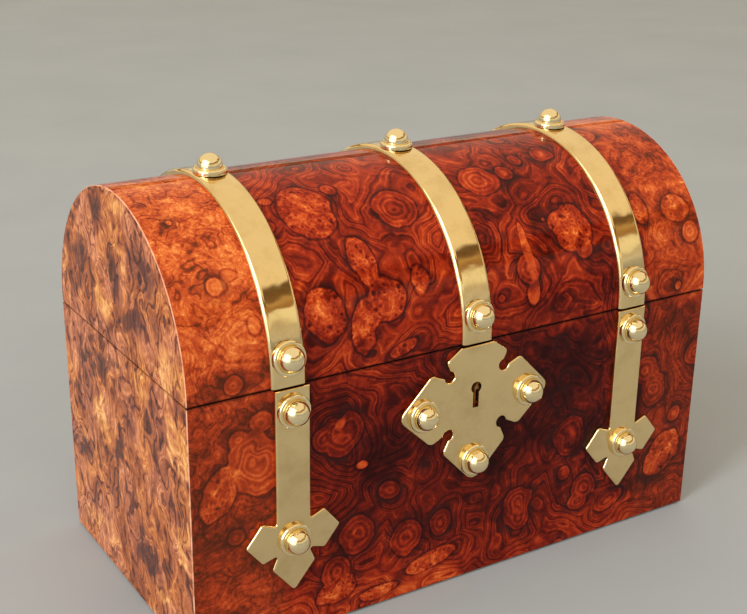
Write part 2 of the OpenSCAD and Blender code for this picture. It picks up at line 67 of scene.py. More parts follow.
# ---------- shader graphs ----------
class Graph:
    """One material's nodes, joined as they are made. Lengths in its patterns are millimetres."""

    def __init__(self, name):
        self.material = bpy.data.materials.new(name)
        self.material.use_nodes = True
        self.nodes = self.material.node_tree.nodes
        self.links = self.material.node_tree.links
        self.surface = self.nodes["Principled BSDF"]
        where = self.nodes.new("ShaderNodeTexCoord")
        self.normal = where.outputs["Normal"]
        self.place = self.vector("SCALE", where.outputs["Object"], scale=1 / MM)

    def put(self, socket, value):
        """Links value to socket if it is a socket too, or sets it as the socket's own value."""
        if isinstance(value, bpy.types.NodeSocket):
            self.links.new(value, socket)
        else:
            socket.default_value = value

    def add(self, kind, inputs, output=0, **settings):
        """Makes a node with these inputs and settings, and gives back one of its outputs."""
        node = self.nodes.new(kind)
        for key, value in settings.items():
            setattr(node, key, value)
        for key, value in inputs.items():
            self.put(node.inputs[key], value)
        return node.outputs[output]

    def math(self, operation, a, b=0.0, c=0.0):
        return self.add("ShaderNodeMath", {0: a, 1: b, 2: c}, operation=operation)

    def vector(self, operation, a, b=(0, 0, 0), scale=1.0):
        output = "Value" if operation == "LENGTH" else "Vector"
        inputs = {0: a, "Scale": scale} if operation == "SCALE" else {0: a, 1: b}
        return self.add("ShaderNodeVectorMath", inputs, output, operation=operation)

    def split(self, vector):
        node = self.nodes.new("ShaderNodeSeparateXYZ")
        self.links.new(vector, node.inputs[0])
        return node.outputs

    def join(self, x, y, z=0.0):
        return self.add("ShaderNodeCombineXYZ", {0: x, 1: y, 2: z})

    def noise(self, where, size, detail=2.0, rough=0.5, distortion=0.0, output="Fac"):
        inputs = {"Vector": where, "Scale": 1 / size, "Detail": detail, "Roughness": rough,
                  "Distortion": distortion}
        return self.add("ShaderNodeTexNoise", inputs, output)

    def cells(self, where, size, output="Distance", feature="F1"):
        inputs = {"Vector": where, "Scale": 1 / size}
        return self.add("ShaderNodeTexVoronoi", inputs, output, voronoi_dimensions="2D", feature=feature)

    def band(self, value, low, high, out_low=0.0, out_high=1.0):
        """A smooth step of value from low to high."""
        inputs = {"Value": value, "From Min": low, "From Max": high, "To Min": out_low, "To Max": out_high}
        return self.add("ShaderNodeMapRange", inputs, interpolation_type="SMOOTHSTEP")

    def bump_at(self, value, centre, width):
        """1 where value is at centre, falling to 0 at width away from it."""
        away = self.math("ABSOLUTE", self.math("SUBTRACT", value, centre))
        return self.band(away, 0.0, width, 1.0, 0.0)

    def ramp(self, value, stops):
        """Colours of (place, colour) stops, picked by value."""
        node = self.nodes.new("ShaderNodeValToRGB")
        self.links.new(value, node.inputs[0])
        elements = node.color_ramp.elements
        while len(elements) < len(stops):
            elements.new(0.5)
        for element, (place, colour) in zip(elements, stops):
            element.position = place
            element.color = (*colour, 1)
        return node.outputs[0]

    def blend(self, amount, a, b):
        """Colour a turning into colour b as amount goes from 0 to 1."""
        return self.add("ShaderNodeMix", {0: amount, 6: a, 7: b}, 2, data_type="RGBA")

    def warped(self, where, size, reach, detail=2.0):
        """where, pushed about by a noise of that size by up to about reach."""
        push = self.noise(where, size, detail, output="Color")
        push = self.vector("SUBTRACT", push, (0.5, 0.5, 0.5))
        return self.vector("ADD", where, self.vector("SCALE", push, scale=2 * reach))

    def total(self, *terms):
        """The sum of (value, weight) terms and plain numbers."""
        result = 0.0
        for term in terms:
            value, weight = term if isinstance(term, tuple) else (term, 1.0)
            result = self.math("MULTIPLY_ADD", value, weight, result)
        return result

    def rings(self, value, period, sharp=1.0):
        """0 to 1 waves of value, with narrow crests where sharp is over 1."""
        wave = self.math("SINE", self.math("MULTIPLY", value, 2 * math.pi / period))
        wave = self.math("MULTIPLY_ADD", wave, 0.5, 0.5)
        return self.math("POWER", wave, sharp)

    def bump(self, height, distance, strength=1.0, normal=None):
        inputs = {"Height": height, "Distance": distance * MM, "Strength": strength}
        if normal is not None:
            inputs["Normal"] = normal
        return self.add("ShaderNodeBump", inputs)

    def finish(self, **sockets):
        """Fills the surface's sockets, named in lower case, and gives back the material."""
        for key, value in sockets.items():
            self.put(self.surface.inputs[key.replace("_", " ").title().replace("Ior", "IOR")], value)
        return self.material


# ---------- wood ----------
# Burr figure seen on the front and over the dome: middle along x, middle up the wrapped
# surface from the table, half sizes, lean in degrees
PIPPED_ISLANDS = [
    (-61, 120, 8, 10, 0), (-42, 136, 5.5, 10, 10), (-46, 113, 6, 10, -8), (-36, 121, 8, 8, 30),
    (-55, 159, 11, 13, 0), (-21, 125, 4, 5.5, 0), (-31, 102, 6, 2.5, 20), (50, 134, 10, 10, 0),
    (86, 136, 4, 7, 0), (104, 134, 7, 6, 0), (-17, 12, 12, 4, 10), (-58, 12, 9, 6, 20),
    (-104, 64, 7, 11, -30), (100, 28, 8, 12, -40), (-40, 6, 9, 3, 0),
]
RINGED_ISLANDS = [
    (-21, 154, 9, 9, 0), (20, 160, 9, 8, 0), (33, 162, 4, 4, 0), (42, 168, 3, 3, 0), (56, 169, 5, 5, 0),
    (9, 136, 9, 12, 0), (54, 125, 4, 4, 0), (-90, 72, 11, 13, 20), (-88, 88, 5, 5, 0),
    (-56, 75, 9, 9, 0), (-50, 33, 8, 8, 0), (-28, 25, 7, 8, 0), (-13, 27, 5, 6, 0),
    (24, 24, 8, 10, -15), (48, 48, 9, 9, 0), (42, 66, 4, 4, 0), (56, 17, 6, 4, 0), (72, 13, 8, 4, 20),
    (-36, 48, 5, 4, 0), (92, 60, 7, 9, 0),
]
PALE_SPOTS = [
    (-92, 139, 3, 2.2, 0), (-96, 136, 2.3, 2.3, 0), (-88, 121, 2.2, 3.2, 0), (-68, 166, 3, 1.8, 0),
    (28, 124, 2.0, 16, 4), (27, 112, 3.5, 5, 0), (56, 169, 1.6, 1.6, 0), (33, 162, 1.2, 1.2, 0),
    (-48, 61, 3, 1.8, 0), (-57, 79, 2.4, 3.5, 0),
]
DARK_SPOTS = [
    (9, 136, 6, 11, 0), (-19, 152, 6, 5, 20), (-41, 158, 2, 8, 0), (20, 146, 12, 2.5, 8),
    (62, 148, 5, 9, 20), (-102, 47, 9, 4, 20), (10, 54, 20, 14, 0), (46, 108, 20, 6, 0),
    (36, 134, 5, 14, 0), (70, 44, 20, 13, 0), (88, 24, 16, 12, 0), (-95, 104, 16, 4, 10),
    (-70, 108, 5, 8, 0), (45, 80, 20, 16, 0), (-38, 62, 10, 12, 0), (-25, 142, 5, 4, 0),
    (64, 112, 12, 12, 0),
]
# Spacing of the ringed islands that are strewn everywhere, in mm
STREWN = 29

# Dark to light
BURR_TONES = [
    (0.00, (0.020, 0.0018, 0.0020)), (0.20, (0.055, 0.0042, 0.0028)), (0.38, (0.150, 0.010, 0.0042)),
    (0.56, (0.335, 0.028, 0.0070)), (0.72, (0.530, 0.078, 0.016)), (0.86, (0.690, 0.170, 0.037)),
    (1.00, (0.880, 0.350, 0.100)),
]


def wrapped_place(g):
    """x, and the way up the front, over the dome and down the back, as one flat sheet."""
    x, y, z = g.split(g.place)[:3]
    rise = g.math("SUBTRACT", z, DOME_Z)
    turn = g.math("ARCTAN2", rise, g.math("MULTIPLY", y, -1.0))
    over = g.math("MULTIPLY_ADD", turn, DOME_R, DOME_Z)
    down = g.math("SUBTRACT", DOME_Z + math.pi * DOME_R, rise)
    behind = g.math("GREATER_THAN", y, 0.0)
    above = g.math("GREATER_THAN", rise, 0.0)
    side = g.math("MULTIPLY_ADD", behind, g.math("SUBTRACT", down, z), z)
    up = g.math("MULTIPLY_ADD", above, g.math("SUBTRACT", over, side), side)
    return g.join(x, up), x, up


def island_field(g, where, islands, blur, field=30.0):
    """Millimetres outside the nearest island's edge, below 0 inside it; near ones flow together."""
    for along, height, half_x, half_up, lean in islands:
        inputs = {"Vector": where, "Location": (along, height, 0), "Scale": (half_x, half_up, 1),
                  "Rotation": (0, 0, math.radians(lean))}
        local = g.add("ShaderNodeMapping", inputs, vector_type="TEXTURE")
        away = g.math("SUBTRACT", g.vector("LENGTH", local), 1.0)
        field = g.math("SMOOTH_MIN", field, g.math("MULTIPLY", away, (half_x + half_up) / 2), blur)
    return field


def burr_islands(g, flat, loose):
    """Distance fields of the pipped and ringed islands and pale spots, and 0 to 1 for the dark spots."""
    away = g.math("MULTIPLY", g.cells(loose, STREWN), STREWN)
    chance = g.split(g.cells(loose, STREWN, "Color"))[0]
    strewn = g.math("SUBTRACT", away, g.math("MULTIPLY_ADD", chance, 8.5, -2.0))
    pipped = island_field(g, loose, PIPPED_ISLANDS, 3.0)
    ringed = island_field(g, loose, RINGED_ISLANDS, 1.0, strewn)
    pale = island_field(g, loose, PALE_SPOTS, 0.5)
    dark = g.band(island_field(g, g.warped(flat, 9, 3), DARK_SPOTS, 4.0), 4.0, -3.0)
    return pipped, ringed, pale, dark


def burr_zones(g, x, up, coarse, broad):
    """Broad light and dark, from 0 to 1: orange ends and foot, a redder lid, a deep middle of the front."""
    back = g.band(up, 175.0, 200.0)
    sway = g.math("MULTIPLY", g.math("SUBTRACT", broad, 0.5), back)
    aside = g.total(x, (coarse, 22.0), -11.0, (sway, 90.0))
    left = g.math("MULTIPLY", g.band(aside, -72.0, -88.0), g.band(up, 88.0, 150.0, 0.62, 1.0))
    right = g.math("MULTIPLY", g.band(aside, 78.0, 92.0), g.band(up, 92.0, 130.0, 0.34, 0.62))
    ends = g.math("MAXIMUM", left, right)
    foot = g.band(g.total(up, (coarse, 26.0), -13.0), 24.0, 8.0)
    foot = g.math("MULTIPLY", foot, g.band(x, 20.0, -20.0, 0.35, 0.9))
    light = g.math("MAXIMUM", ends, foot)
    darker_right = g.math("MULTIPLY_ADD", g.bump_at(x, 50.0, 45.0), -0.40, 1.0)
    lid = g.math("MULTIPLY", g.band(up, 92.0, 104.0), darker_right)
    deep = g.math("MULTIPLY", g.bump_at(g.total(up, (broad, 30.0)), 80.0, 56.0), g.bump_at(x, 18.0, 98.0))
    return ends, light, lid, deep


def burr_pips(g, curled):
    """Rings and dots of the pips, little eyes that fill the pipped islands here and there."""
    away = g.cells(curled, 3.1)
    chosen = g.band(g.split(g.cells(curled, 3.1, "Color"))[1], 0.30, 0.55)
    ring = g.math("MULTIPLY", g.bump_at(away, 0.33, 0.20), chosen)
    dot = g.math("MULTIPLY", g.band(away, 0.26, 0.06), chosen)
    return ring, dot


def burr_colour(g):
    """Burr figure: pipped or ringed islands with charcoal halos, and fibres that flow round them."""
    flat, x, up = wrapped_place(g)
    loose = g.warped(flat, 15, 1.7)
    curled = g.warped(loose, 5, 1.0)
    pipped, ringed, pale, dark = burr_islands(g, flat, loose)
    field = g.math("MINIMUM", pipped, ringed)

    broad = g.noise(loose, 42, 2)
    coarse = g.noise(curled, 15, 3, 0.6, 0.5)
    middle = g.noise(curled, 6, 4, 0.62, 0.8)
    fine = g.noise(curled, 1.6, 3, 0.7, 1.0)
    grit = g.noise(g.warped(curled, 3, 1.2), 2.6, 4, 0.75, 1.5)
    ends, light, lid, deep = burr_zones(g, x, up, coarse, broad)

    # Fibres run along the contours of the field near an island and of a slow noise elsewhere
    flow = g.total((field, 1.0), (g.noise(loose, 30, 1.5), 62.0), (coarse, 4.0), (fine, 0.5))
    fibre = g.rings(flow, 1.9, 2.5)
    fibre = g.math("MULTIPLY", fibre, g.band(g.noise(curled, 8, 2), 0.35, 0.62, 0.25, 1.0))
    dark_fibre = g.rings(g.math("ADD", flow, 0.9), 4.7, 3.0)
    ring = g.rings(g.total((ringed, 1.0), (middle, 1.2), (fine, 0.4)), 2.3, 1.4)

    in_pipped = g.band(pipped, 0.5, -0.9)
    in_ringed = g.band(ringed, 0.5, -0.9)
    in_pale = g.band(pale, 0.5, -0.8)
    outline = g.bump_at(g.math("MINIMUM", field, pale), 0.2, 0.8)
    rim_light = g.bump_at(field, -1.3, 0.8)
    heart = g.band(field, -2.5, -6.0)
    patchy = g.band(g.noise(flat, 9, 2), 0.40, 0.66)
    halo = g.math("MULTIPLY", g.band(field, 4.2, 0.3), g.math("MULTIPLY_ADD", patchy, 0.75, 0.25))
    halo = g.math("MULTIPLY", halo, g.band(field, -0.6, 0.4))

    pip_ring, pip_dot = burr_pips(g, curled)
    knot = g.math("MULTIPLY", g.band(g.cells(curled, 9.5), 0.14, 0.03), in_pipped)

    # The ends have fewer flowing lines, and short dark strokes and mottle instead
    calm = g.math("SUBTRACT", 1.0, g.math("MULTIPLY", ends, 0.6))
    lines = g.math("MULTIPLY", g.total((fibre, 0.17), (dark_fibre, -0.17)), calm)
    lines = g.math("MULTIPLY", lines, g.math("MULTIPLY_ADD", deep, -0.35, 1.0))
    stroke = g.rings(g.total((g.noise(g.warped(flat, 11, 4), 13, 2), 34.0), (fine, 0.9)), 3.4, 5.0)
    stroke = g.math("MULTIPLY", g.math("MULTIPLY", stroke, ends), g.band(coarse, 0.62, 0.40, 0.15, 1.0))
    mottle = g.math("MULTIPLY", g.total((grit, 1.5), (coarse, 0.5), -1.05), g.math("SUBTRACT", 1.1, calm))

    # Tone of the ground, of each kind of island and of the pale spots, from 0 dark to 1 light
    ground = g.total(0.32, (lid, 0.17), (light, 0.26), (deep, -0.11), (broad, 0.30), -0.15,
                     (coarse, 0.55), -0.275, (middle, 0.45), -0.225, lines, (mottle, 1.0),
                     (dark, -0.16), (stroke, -0.34))
    pip_tone = g.total(0.46, (lid, 0.05), (light, 0.10), (middle, 1.1), -0.55, (pip_ring, 0.08),
                       (pip_dot, -0.12), (knot, -0.30), (heart, 0.10), (coarse, 0.6), -0.30,
                       (grit, 0.8), -0.40)
    ring_tone = g.total(0.36, (lid, 0.15), (light, 0.22), (deep, -0.08), (ring, 0.17), -0.07,
                        (middle, 0.55), -0.275, (rim_light, 0.05), (heart, 0.07), (coarse, 0.45), -0.225,
                        (grit, 0.3), -0.15, (dark, -0.22))
    pale_tone = g.total(0.62, (middle, 0.6), -0.3, (light, 0.16), (fibre, 0.08))
    tone = g.math("MULTIPLY_ADD", in_ringed, g.math("SUBTRACT", ring_tone, ground), ground)
    tone = g.math("MULTIPLY_ADD", in_pipped, g.math("SUBTRACT", pip_tone, tone), tone)
    tone = g.math("MULTIPLY_ADD", in_pale, g.math("SUBTRACT", pale_tone, tone), tone)
    tone = g.total(tone, (outline, -0.20), (halo, -0.14), (fine, 0.24), -0.10)
    colour = g.ramp(tone, BURR_TONES)
    colour = g.blend(g.math("MULTIPLY", ends, 0.12), colour, (0.56, 0.20, 0.060, 1))
    return g.blend(g.math("MULTIPLY", halo, 0.5), colour, (0.040, 0.011, 0.010, 1)), fine


# Gold and purple-brown patches of the ends: middle forward, middle up, half sizes, lean
GOLD_PATCHES = [
    (47, 106, 13, 10, 0), (49, 80, 9, 16, 0), (50, 45, 6, 22, 0), (20, 92, 9, 7, 0), (8, 152, 6, 3, 0),
    (-14, 112, 10, 7, 0), (7, 134, 9, 2, -40), (-22, 65, 8, 12, 20), (-52, 120, 3, 20, 0),
    (24, 78, 7, 5, 0), (-30, 12, 20, 6, 0), (30, 14, 9, 4, 0),
]
BROWN_PATCHES = [
    (28, 133, 8, 11, 0), (-4, 129, 7, 8, 0), (-34, 124, 7, 11, 0), (17, 113, 15, 4, 15),
    (-24, 86, 22, 5, 10), (-36, 76, 9, 5, 0), (-5, 55, 4, 12, -20), (-10, 33, 9, 4, 20),
    (22, 24, 17, 7, 20), (-45, 42, 8, 8, 0), (-12, 4, 6, 5, 0), (-12, 148, 10, 4, 0),
]


# Dark to light in tan, rosy and straw-coloured wood
END_TONES = [
    [(0.05, (0.040, 0.008, 0.005)), (0.28, (0.150, 0.034, 0.013)), (0.48, (0.350, 0.094, 0.028)),
     (0.68, (0.580, 0.200, 0.055)), (0.95, (0.850, 0.430, 0.140))],
    [(0.05, (0.042, 0.010, 0.008)), (0.28, (0.160, 0.042, 0.024)), (0.48, (0.370, 0.115, 0.058)),
     (0.68, (0.590, 0.225, 0.120)), (0.95, (0.840, 0.430, 0.250))],
    [(0.05, (0.060, 0.014, 0.005)), (0.28, (0.200, 0.055, 0.014)), (0.48, (0.440, 0.150, 0.036)),
     (0.68, (0.690, 0.310, 0.080)), (0.95, (0.880, 0.560, 0.200))],
]


def end_colour(g):
    """Paler burr of the ends: tan mottle with gold and purple-brown patches and wavering lines."""
    x, y, z = g.split(g.place)[:3]
    flat = g.join(g.math("MULTIPLY", y, -1.0), z)
    loose = g.warped(flat, 22, 5)
    curled = g.warped(loose, 6, 2.4)
    gold = g.band(island_field(g, curled, GOLD_PATCHES, 5.0), 4.0, -4.0)
    brown = g.band(island_field(g, curled, BROWN_PATCHES, 5.0), 4.0, -4.0)
    long_way = g.vector("MULTIPLY", curled, (1.0, 0.55, 1.0))
    broad = g.noise(long_way, 12, 3, 0.6, 1.0)
    middle = g.noise(long_way, 4.2, 4, 0.68, 1.2)
    fine = g.noise(curled, 1.5, 3, 0.75, 1.2)
    flow = g.total((g.noise(long_way, 19, 2), 62.0), (middle, 2.0), (fine, 0.7))
    lines = g.math("MULTIPLY", g.rings(flow, 2.5, 1.8), g.band(broad, 0.38, 0.56))
    dark_lines = g.rings(g.math("ADD", flow, 1.0), 5.6, 4.0)
    dark_lines = g.math("MULTIPLY", dark_lines, g.band(broad, 0.66, 0.44, 0.35, 1.0))
    tone = g.total(0.48, (gold, 0.15), (brown, -0.22), (broad, 0.80), -0.40, (middle, 0.60), -0.30,
                   (fine, 0.30), -0.15, (lines, 0.18), (dark_lines, -0.28))
    tan, rose, straw = (g.ramp(tone, stops) for stops in END_TONES)
    rosy = g.band(g.noise(loose, 26, 2), 0.42, 0.60, 0.0, 0.75)
    colour = g.blend(g.math("MULTIPLY", gold, 0.6), g.blend(rosy, tan, rose), straw)
    colour = g.blend(g.math("MULTIPLY", brown, 0.4), colour, (0.11, 0.038, 0.028, 1))
    return colour, middle


# How far the painted shade of the parting darkens the wood on each side, in mm
SEAM_REACH = 1.1


def polish(g, colour, relief, seam_shade):
    """French polish over the figure, showing a little of the grain, with painted shade darkening the wood
    along the parting.
    """
    # Painted shade: the wood darkens towards the parting line, standing for the shade in the groove between
    # lid and base
    seam = g.bump_at(g.split(g.place)[2], PARTING, SEAM_REACH)
    colour = g.blend(g.math("MULTIPLY", seam, seam_shade), colour, (0.010, 0.004, 0.003, 1))
    coat_normal = g.bump(g.noise(g.place, 18, 2), 0.22, 0.35)
    return g.finish(base_color=colour, roughness=0.5, specular_ior_level=0.0, coat_weight=1.0,
                    coat_roughness=0.05, coat_ior=1.2, coat_normal=coat_normal,
                    normal=g.bump(relief, 0.05, 0.3))


def burr_veneer():
    """The figured veneer of front, back and dome, with a painted pale highlight on its eased end edges,
    where the polish is also rubbed thin.
    """
    g = Graph("burr_veneer")
    colour, fine = burr_colour(g)
    pale = end_colour(g)[0]
    sideways = g.math("ABSOLUTE", g.split(g.normal)[0])
    # Painted highlight and wear: the eased end edges turn pale pink in patches, for the window light they
    # catch and for polish rubbed thin
    edge_wear_and_highlight = g.math("MULTIPLY", g.band(sideways, 0.12, 0.35), g.band(sideways, 0.93, 0.80))
    edge_wear_and_highlight = g.math("MULTIPLY", edge_wear_and_highlight, g.band(g.noise(g.place, 5, 3, 0.6), 0.30, 0.62, 0.35, 0.85))
    colour = g.blend(g.band(sideways, 0.72, 0.82), colour, pale)
    colour = g.blend(edge_wear_and_highlight, colour, (0.80, 0.46, 0.30, 1))
    # 0.9 is the strength of the painted shade along the parting
    return polish(g, colour, fine, 0.9)


def end_veneer():
    """The paler veneer of both ends."""
    g = Graph("end_veneer")
    colour, streak = end_colour(g)
    # 0.3 is the strength of the painted shade along the parting
    return polish(g, colour, streak, 0.3)


def plain_wood(name, stops, stretch, gloss):
    """Straight-grained wood with pores; stretch squeezes the pattern along each axis."""
    g = Graph(name)
    along = g.vector("MULTIPLY", g.warped(g.place, 40, 3), stretch)
    figure = g.noise(along, 5, 4, 0.6, 0.6)
    pores = g.noise(along, 0.9, 2, 0.7)
    tone = g.total((figure, 0.9), (pores, 0.35), -0.12)
    colour = g.ramp(tone, stops)
    rough = g.math("MULTIPLY_ADD", pores, 0.25, gloss)
    return g.finish(base_color=colour, roughness=rough, normal=g.bump(pores, 0.08, 0.5))


# ---------- metal ----------
def brass(name, colour, rough, scratch, tarnish, waves=0.0):
    """Polished brass with fine rubbing marks, toned patches and, on hand-bent strap, slow waves."""
    g = Graph(name)
    cloud = g.noise(g.place, 9, 4, 0.6)
    speck = g.noise(g.place, 1.1, 3, 0.7)
    rub = g.noise(g.vector("MULTIPLY", g.warped(g.place, 20, 4), (1.0, 1.0, 0.08)), 0.35, 2, 0.6)
    cross_rub = g.noise(g.vector("MULTIPLY", g.place, (0.1, 1.0, 1.0)), 0.5, 2, 0.6)
    marks = g.total((rub, 0.6), (cross_rub, 0.4))
    toned = g.math("MULTIPLY", g.band(g.total((cloud, 0.8), (speck, 0.2)), 0.42, 0.72), tarnish)
    dull = tuple(c * k for c, k in zip(colour, (0.72, 0.66, 0.55)))
    tint = g.blend(toned, (*colour, 1), (*dull, 1))
    gloss = g.total(rough, (g.math("SUBTRACT", cloud, 0.5), 0.12), (g.math("SUBTRACT", marks, 0.5), 0.16))
    normal = g.bump(g.total((marks, 1.0), (cloud, 3.0)), scratch, 0.5)
    if waves:
        normal = g.bump(g.noise(g.place, 13, 1.5, 0.4), waves, 1.0, normal)
    return g.finish(base_color=tint, metallic=1.0, roughness=gloss, normal=normal)


def worn_steel():
    """Dull steel with small rust spots."""
    g = Graph("steel")
    grain = g.noise(g.vector("MULTIPLY", g.place, (1, 0.2, 1)), 0.4, 3, 0.6)
    spots = g.band(g.noise(g.place, 1.6, 3, 0.7), 0.58, 0.75)
    tint = g.blend(spots, (0.42, 0.41, 0.40, 1), (0.17, 0.12, 0.09, 1))
    return g.finish(base_color=tint, metallic=1.0, roughness=g.math("MULTIPLY_ADD", grain, 0.3, 0.22),
                    normal=g.bump(grain, 0.02, 0.5))


def tea_lead():
    """Dull foil pressed into the compartment, with creases."""
    g = Graph("tea_lead")
    crease = g.cells(g.warped(g.place, 9, 4), 13, feature="DISTANCE_TO_EDGE")
    crush = g.noise(g.place, 4, 4, 0.6, 1.0)
    dust = g.noise(g.place, 16, 3, 0.6)
    tint = g.ramp(g.total((dust, 0.7), (crush, 0.4), -0.05), [
        (0.25, (0.22, 0.22, 0.21)), (0.5, (0.42, 0.42, 0.40)), (0.8, (0.58, 0.57, 0.53))])
    folds = g.total((g.band(crease, 0.0, 0.08), 1.0), (crush, 0.8))
    return g.finish(base_color=tint, metallic=0.85, roughness=g.math("MULTIPLY_ADD", crush, 0.3, 0.28),
                    normal=g.bump(folds, 0.35, 0.6))


# ---------- cloth ----------
def pile_cloth(name, dark, light, pile, sheen):
    """Velvet or baize: a short pile that lies in slightly different ways."""
    g = Graph(name)
    nap = g.noise(g.place, 14, 3, 0.6, 0.5)
    fibre = g.noise(g.place, pile, 3, 0.75)
    tone = g.total((nap, 0.7), (fibre, 0.5), -0.1)
    colour = g.ramp(tone, [(0.25, dark), (0.75, light)])
    return g.finish(base_color=colour, roughness=0.95, specular_ior_level=0.15, sheen_weight=sheen,
                    sheen_roughness=0.35, sheen_tint=(*light, 1), normal=g.bump(fibre, 0.3, 0.7))


MATERIALS = {
    "burr_veneer": burr_veneer(),
    "end_veneer": end_veneer(),
    "carcass_wood": plain_wood("carcass_wood", [
        (0.2, (0.13, 0.050, 0.022)), (0.5, (0.27, 0.115, 0.052)), (0.85, (0.40, 0.190, 0.090))],
        (0.08, 1.0, 1.0), 0.45),
    "interior_wood": plain_wood("interior_wood", [
        (0.2, (0.045, 0.018, 0.010)), (0.5, (0.115, 0.050, 0.026)), (0.85, (0.210, 0.105, 0.055))],
        (0.10, 1.0, 1.0), 0.25),
    "strap_brass": brass("strap_brass", (0.90, 0.68, 0.34), 0.09, 0.006, 0.50, waves=0.6),
    # Stud brass is paler than strap brass, partly as painted highlight for the brighter window glints on the
    # domes
    "stud_brass": brass("stud_brass", (0.94, 0.78, 0.46), 0.14, 0.006, 0.12),
    "fitting_brass": brass("fitting_brass", (0.70, 0.54, 0.27), 0.34, 0.02, 0.6),
    "steel": worn_steel(),
    "tea_lead": tea_lead(),
    "velvet": pile_cloth("velvet", (0.10, 0.010, 0.020), (0.36, 0.045, 0.075), 0.5, 0.6),
    "baize": pile_cloth("baize", (0.020, 0.055, 0.028), (0.07, 0.19, 0.10), 0.7, 0.3),
}


# ---------- meshes ----------
# Faces that meet at more than this have a sharp edge
EASED_ANGLE = math.radians(35)
# Widths of the eased edges, in mm: veneer corners, both sides of the parting, plates, straps, lids, leaves
CORNER_EASE = 0.55
PARTING_EASE = 0.3
END_PARTING_EASE = 0.15
PLATE_EASE = 0.75
STRAP_EASE = 1.7
INNER_LID_EASE = 0.4
LEAF_EASE = 0.12
# Half width of the zone round the keyhole that stays sharp, and its lower and upper end, in mm
KEYHOLE_ZONE = (4, 68, 85)


def new_piece(name, mesh, node):
    """Makes mesh a visible piece with the body, slot and material of a CAD node."""
    piece = bpy.data.objects.new(name, mesh)
    bpy.context.scene.collection.objects.link(piece)
    mesh.materials.clear()
    mesh.materials.append(MATERIALS[SLOT_OF[node]])
    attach(piece, BODY_OF[node])
    return piece


def smooth(mesh, angle=30):
    """Shades mesh smooth, except where its faces meet at more than angle degrees."""
    mesh.shade_smooth()
    mesh.set_sharp_from_angle(angle=math.radians(angle))


def put_in_order(shape):
    """Sorts shape's elements by place, because bevels leave them in an order that varies from run to run."""
    for elements in (shape.faces, shape.edges, shape.verts):
        elements.index_update()
        places = [sorted(tuple(vert.co) for vert in getattr(element, "verts", [element]))
                  for element in elements]
        by_place = sorted(range(len(places)), key=places.__getitem__)
        rank = {number: position for position, number in enumerate(by_place)}
        elements.sort(key=lambda element: rank[element.index])


def eased(node, *cuts):
    """A copy of a CAD node with sharp edges rounded. Each cut is a width in mm, a number of
    segments and a test of an edge's middle."""
    shape = bmesh.new()
    shape.from_mesh(frame["nodes"][node].data)
    bmesh.ops.remove_doubles(shape, verts=shape.verts, dist=0.002 * MM)
    bmesh.ops.dissolve_limit(shape, angle_limit=math.radians(0.4), verts=shape.verts, edges=shape.edges)
    for width, segments, chosen in cuts:
        edges = []
        for edge in shape.edges:
            middle = (edge.verts[0].co + edge.verts[1].co) / 2 / MM
            sharp = len(edge.link_faces) == 2 and edge.calc_face_angle(0) > EASED_ANGLE
            if sharp and chosen(middle):
                edges.append(edge)
        bmesh.ops.bevel(shape, geom=edges, offset=width * MM, offset_type="OFFSET", segments=segments,
                        profile=0.5, affect="EDGES", clamp_overlap=False, loop_slide=False)
    put_in_order(shape)
    mesh = bpy.data.meshes.new(node + "_eased")
    shape.to_mesh(mesh)
    shape.free()
    smooth(mesh)
    piece = new_piece(node + "_eased", mesh, node)
    weighted = piece.modifiers.new("face_normals", "WEIGHTED_NORMAL")
    weighted.keep_sharp = True
    weighted.weight = 90
    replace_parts(piece, node)
    return piece


def outer(middle, slack=0.05):
    """True for an edge on the outside of the caddy, not in a joint between its boards."""
    on_end = abs(abs(middle.x) - HALF_W) < slack
    on_side = abs(abs(middle.y) - DOME_R) < slack
    on_dome = abs(math.hypot(middle.y, middle.z - DOME_Z) - DOME_R) < slack and middle.z > DOME_Z - slack
    return on_end and (on_side or on_dome)


def proud(middle):
    """True for an edge on the outer face of a strap or of the escutcheon."""
    return math.hypot(middle.y, max(middle.z - DOME_Z, 0)) > DOME_R + STRAP_T - 0.2


def round_keyhole(middle):
    """True for an edge close to the keyhole."""
    half_width, low, high = KEYHOLE_ZONE
    return abs(middle.x) < half_width and low < middle.z < high


def at_parting(middle):
    """True for an outside edge of the veneer along the parting of lid and base."""
    outside = abs(abs(middle.x) - HALF_W) < 0.6 or abs(abs(middle.y) - DOME_R) < 0.6
    return outside and min(abs(middle.z - BASE_TOP), abs(middle.z - LID_LOW)) < 0.02


def any_edge(middle):
    """True for every edge."""
    return True


def plate_edge(middle):
    """True for an edge on the outer face of a strap or of the escutcheon, away from the keyhole."""
    return proud(middle) and not round_keyhole(middle)


def side_edge_of(node):
    """A test that is true for the long edges of a lid strap's outer face."""
    sides = [corner[0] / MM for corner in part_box(node)]

    def chosen(middle):
        return proud(middle) and min(abs(middle.x - side) for side in sides) < 0.1

    return chosen


for node in ("front_veneer", "back_veneer", "lid_dome_veneer"):
    eased(node, (CORNER_EASE, 4, outer), (PARTING_EASE, 3, at_parting))
for node in ("left_base_veneer", "right_base_veneer", "left_lid_veneer", "right_lid_veneer"):
    eased(node, (END_PARTING_EASE, 2, at_parting))
for node in ("left_base_strap", "right_base_strap", "escutcheon"):
    eased(node, (PLATE_EASE, 5, plate_edge))
for node in ("left_lid_strap", "centre_lid_strap", "right_lid_strap"):
    eased(node, (STRAP_EASE, 7, side_edge_of(node)))
for node in ("left_inner_lid", "right_inner_lid"):
    eased(node, (INNER_LID_EASE, 3, any_edge))
for node in ("lock_link_plate", "left_hinge_base_leaf", "right_hinge_base_leaf",
             "left_hinge_lid_leaf", "right_hinge_lid_leaf"):
    eased(node, (LEAF_EASE, 2, any_edge))


